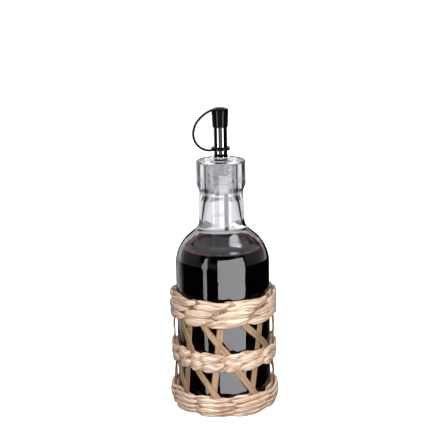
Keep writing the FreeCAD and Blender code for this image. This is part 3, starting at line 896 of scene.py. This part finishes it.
def leaf_frames(z, row_height, front_thick, places, first_side, stations, seed):
    """Frames of one leaf, once round the sleeve."""
    frames = []
    side = first_side
    for span in zip(places, places[1:]):
        for station in range(stations):
            share = station / stations
            frames.append(leaf_frame(z, row_height, front_thick, span, share, side, seed))
        side = -side
    return frames


for band, (foot, row_height, shift, rows) in BANDS.items():
    for row, (front_thick, manner, after_slant) in enumerate(rows):
        z = foot + (row + 0.5) * row_height
        places = crossings(z, row_height, shift, manner, after_slant)
        for letter, side in (("a", 1), ("b", -1)):
            name = f"{band}_{row + 1}_{letter}"
            frames = leaf_frames(
                z, row_height, front_thick, places, side, STATIONS[manner], row + side
            )
            made = swept("leaf_" + name, frames, rush, LEAF_POINTS, leaf_shape, True)
            stand_in(made, "weft_" + name)
    print(band, "band of", len(rows), "rows")

# %% [markdown]
# ## Strips
# A strip of split reed goes up, turns over in a tight bend at the top and comes down on its
# slant. It is one flat piece from end to end, so it is drawn out in one go, with the frames
# set square to its own path.

# %% Strips of reed
STRIP_POINTS, UP_STEPS, BEND_STEPS, DOWN_STEPS = 20, 12, 8, 40


def strip_shape(share):
    """A flat section with soft edges."""
    turn = 2 * math.pi * share
    out, up = math.cos(turn), math.sin(turn)
    flat = math.copysign(abs(out) ** 0.45, out)
    return Vector((flat, math.copysign(abs(up) ** 0.8, up), 0)), 2.0 * up


def strip_line(spoke):
    """Angle, height and radius along a strip: up, round the bend and down the other leg."""
    left, right = upright_angle(spoke, SLEEVE_TOP), slant_angle(spoke, SLEEVE_TOP)
    bend = 0.5 * math.radians(right - left) * SLANT_R
    turn_z = SLEEVE_TOP - bend - 0.5 * STRIP_WIDTH
    up_r, down_r = UPRIGHT_R + 0.5 * STRIP_THICK, SLANT_R + 0.5 * STRIP_THICK
    line = []
    for step in range(UP_STEPS):
        z = STRIP_FOOT + (turn_z - STRIP_FOOT) * step / UP_STEPS
        line.append((upright_angle(spoke, z), z, up_r))
    for step in range(BEND_STEPS + 1):
        turn = math.pi * (1 - step / BEND_STEPS)
        angle = 0.5 * (left + right) + math.degrees(bend * math.cos(turn) / SLANT_R)
        radius = up_r + (down_r - up_r) * step / BEND_STEPS
        line.append((angle, turn_z + bend * math.sin(turn), radius))
    for step in range(1, DOWN_STEPS + 1):
        z = turn_z + (STRIP_FOOT - turn_z) * step / DOWN_STEPS
        line.append((slant_angle(spoke, z), z, down_r))
    return line


def strip_frames(spoke):
    """Frames square to the path of a strip."""
    line = strip_line(spoke)
    frames = []
    for before, (angle, z, radius), after in zip([line[0]] + line, line, line[1:] + [line[-1]]):
        run = math.radians(after[0] - before[0]) * radius
        rise = math.atan2(after[1] - before[1], run)
        frames.append(frame_at(angle, radius, z, STRIP_THICK, STRIP_WIDTH, 0.0, rise))
    return frames


for spoke in range(SPOKES):
    name = f"strip_{spoke + 1}"
    made = swept(name, strip_frames(spoke), reed, STRIP_POINTS, strip_shape, False)
    stand_in(made, f"stake_{spoke + 1}")
print(SPOKES, "strips")

# %% [markdown]
# ## Finish of the pourer
# The stopper is soft clear plastic, the tube and the breather are polished steel and the cap
# is black plastic with a little gloss. All three are smooth, and perfectly smooth surfaces
# look false. One function gives each its own fine marks: they change the colour a little,
# the polish a little more, and the height least. On the steel they run round the tube, as
# the marks of polishing do.

# %% Plastic and steel
def worn_finish(name, base, marks, roughness, relief, stretch=(1.0, 1.0, 1.0), **constants):
    """A moulded or turned surface: fine marks vary its colour, its polish and its height."""
    tree, shader = finish_of(name, **constants)
    place = tree.object_place()
    stretched = {0: place, 1: stretch}
    drawn = tree.node("ShaderNodeVectorMath", {"operation": "MULTIPLY"}, stretched)
    small = {"Vector": drawn, "Scale": 400.0, "Detail": 3.0}
    fine = tree.node("ShaderNodeTexNoise", inputs=small)
    cloudy = tree.node("ShaderNodeTexNoise", inputs={"Vector": place, "Scale": 60.0})
    share = fine.between(0.3, 0.7) * 0.6 + cloudy.between(0.35, 0.65) * 0.4
    smooth, dull = roughness
    tree.feed(shader.inputs["Base Color"], tree.mix(share, (*base, 1), (*marks, 1)))
    tree.feed(shader.inputs["Roughness"], smooth + (dull - smooth) * share)
    dents = {"Strength": 0.4, "Distance": relief, "Height": fine}
    tree.feed(shader.inputs["Normal"], tree.node("ShaderNodeBump", inputs=dents))
    return tree.owner


soft_plastic = worn_finish(
    "stopper", (0.95, 0.95, 0.98), (0.88, 0.88, 0.92), (0.20, 0.32), 0.00004,
    IOR=1.45, Transmission_Weight=0.5,
)
steel = worn_finish(
    "steel", (0.74, 0.72, 0.71), (0.66, 0.64, 0.63), (0.05, 0.11), 0.000006,
    stretch=(1.0, 1.0, 6.0), Metallic=1.0,
)
black_plastic = worn_finish(
    "black_plastic", (0.0015, 0.0015, 0.002), (0.004, 0.004, 0.0045), (0.10, 0.18), 0.00002,
    Specular_IOR_Level=0.4,
)
print("plastic, steel and black plastic made")

# %% [markdown]
# ## Spout
# The spout is a thin steel tube that is pressed into the stopper. A flange rests on the
# stopper, and a low swell above it keeps the ring from sliding down. It is turned like the
# bottle, as a closed outline of the wall alone. The stopper and the breather tube already
# have their true form in the construction model, so they only get their finish.

# %% Spout, stopper and breather tube
SPOUT_R, SPOUT_BORE, SEAT, STOPPER_TOP, SPOUT_TOP = 4.7, 4.1, 157.4, 174.6, 206.0
FLANGE_R, FLANGE_THICK, SWELL, SWELL_Z, SWELL_END = 6.3, 0.7, 0.45, 177.3, 179.5
SPOUT_CORNERS = (
    (SPOUT_BORE, SEAT, 0), (SPOUT_R, SEAT, 0), (SPOUT_R, STOPPER_TOP, 0),
    (FLANGE_R, STOPPER_TOP, 0.1), (FLANGE_R, STOPPER_TOP + FLANGE_THICK, 0.3),
    (SPOUT_R, STOPPER_TOP + FLANGE_THICK, 0.2), (SPOUT_R + SWELL, SWELL_Z, 3.0),
    (SPOUT_R, SWELL_END, 3.0), (SPOUT_R, SPOUT_TOP, 0.2), (SPOUT_BORE, SPOUT_TOP, 0.2),
    (SPOUT_BORE, SEAT, 0),
)
spout = stand_in(turned("spout_tube", SPOUT_CORNERS, steel), "spout")
for name, material in (("stopper", soft_plastic), ("breather_tube", steel)):
    nodes[name].data.materials.clear()
    nodes[name].data.materials.append(material)
print("spout of", len(spout.data.polygons), "faces")

# %% [markdown]
# ## Cap, tether and ring
# The cap, its tether and the ring are one soft moulding. The cap and the ring are turned.
# The tether is a round section drawn out along three arcs that run smoothly into each other,
# each with its own radius and turn, as the loop bends more sharply towards the ring.

# %% Path of the tether
TETHER_R, TETHER_POINTS, TETHER_STEP = 0.85, 16, 4.0
TETHER_START, TETHER_HEADING = Vector((-5.24, 0, 209.3)), 21.0
TETHER_ARCS = ((23.0, 32.0), (15.0, 37.0), (11.1, 104.0))


def tether_frames():
    """Frames down the middle of the tether, arc after arc."""
    side, heading = TETHER_START, TETHER_HEADING
    frames = []
    for radius, turn in TETHER_ARCS:
        first = math.radians(90 + heading)
        centre = side - radius * Vector((math.cos(first), 0, math.sin(first)))
        steps = round(turn / TETHER_STEP)
        for step in range(1 if frames else 0, steps + 1):
            angle = first + math.radians(turn) * step / steps
            out = Vector((math.cos(angle), 0, math.sin(angle)))
            ahead = Vector((-math.sin(angle), 0, math.cos(angle)))
            columns = (TETHER_R * MM * out, TETHER_R * MM * ahead.cross(out), MM * ahead)
            frames.append(placed(columns, centre + radius * out))
        heading += turn
        side = centre + radius * out
    return frames


def round_shape(share):
    turn = 2 * math.pi * share
    return Vector((math.cos(turn), math.sin(turn), 0)), share


print("tether ends at", [round(v / MM, 1) for v in tether_frames()[-1].translation], "mm")

# %% [markdown]
# The three shapes are made one by one and then put into one mesh. They push into each other
# where they meet. A Boolean could join them, but it would leave long thin faces there, and an
# opaque moulding doesn't show the difference.

# %% Cap, tether and ring
CAP_HOLE_R, CAP_MOUTH_R, CAP_TOP_R, CAP_MOUTH, CAP_TOP = 4.8, 5.31, 5.84, 197.5, 211.5
CEILING = SPOUT_TOP + 0.1
RING_R, RING_FOOT, RING_HEIGHT, RING_ROUND = 6.54, 181.7, 2.3, 0.8
RING_TOP = RING_FOOT + RING_HEIGHT
CAP_CORNERS = (
    (0, CAP_TOP, 0), (2.55, CAP_TOP - 0.35, 4.0), (CAP_TOP_R, CAP_TOP - 1.35, 1.2),
    (CAP_MOUTH_R, CAP_MOUTH + 0.6, 0.3), (CAP_MOUTH_R - 0.4, CAP_MOUTH, 0.1),
    (CAP_HOLE_R, CAP_MOUTH, 0), (CAP_HOLE_R, CEILING, 0), (0, CEILING, 0),
)
RING_CORNERS = (
    (CAP_HOLE_R, RING_FOOT, 0), (RING_R, RING_FOOT, RING_ROUND),
    (RING_R, RING_TOP, RING_ROUND), (CAP_HOLE_R, RING_TOP, 0), (CAP_HOLE_R, RING_FOOT, 0),
)


def moulded(name, parts, material):
    """Several shapes as one piece."""
    bm = bmesh.new()
    for part in parts:
        bm.from_mesh(part.data)
        bpy.data.objects.remove(part)
    return link(name, mesh_from(bm, name), material)


cap_parts = (
    turned("cap_dome", CAP_CORNERS, None), turned("cap_ring", RING_CORNERS, None),
    swept("cap_tether", tether_frames(), None, TETHER_POINTS, round_shape, False),
)
cap = stand_in(moulded("cap_moulding", cap_parts, black_plastic), "cap")
print("cap moulding of", len(cap.data.polygons), "faces")
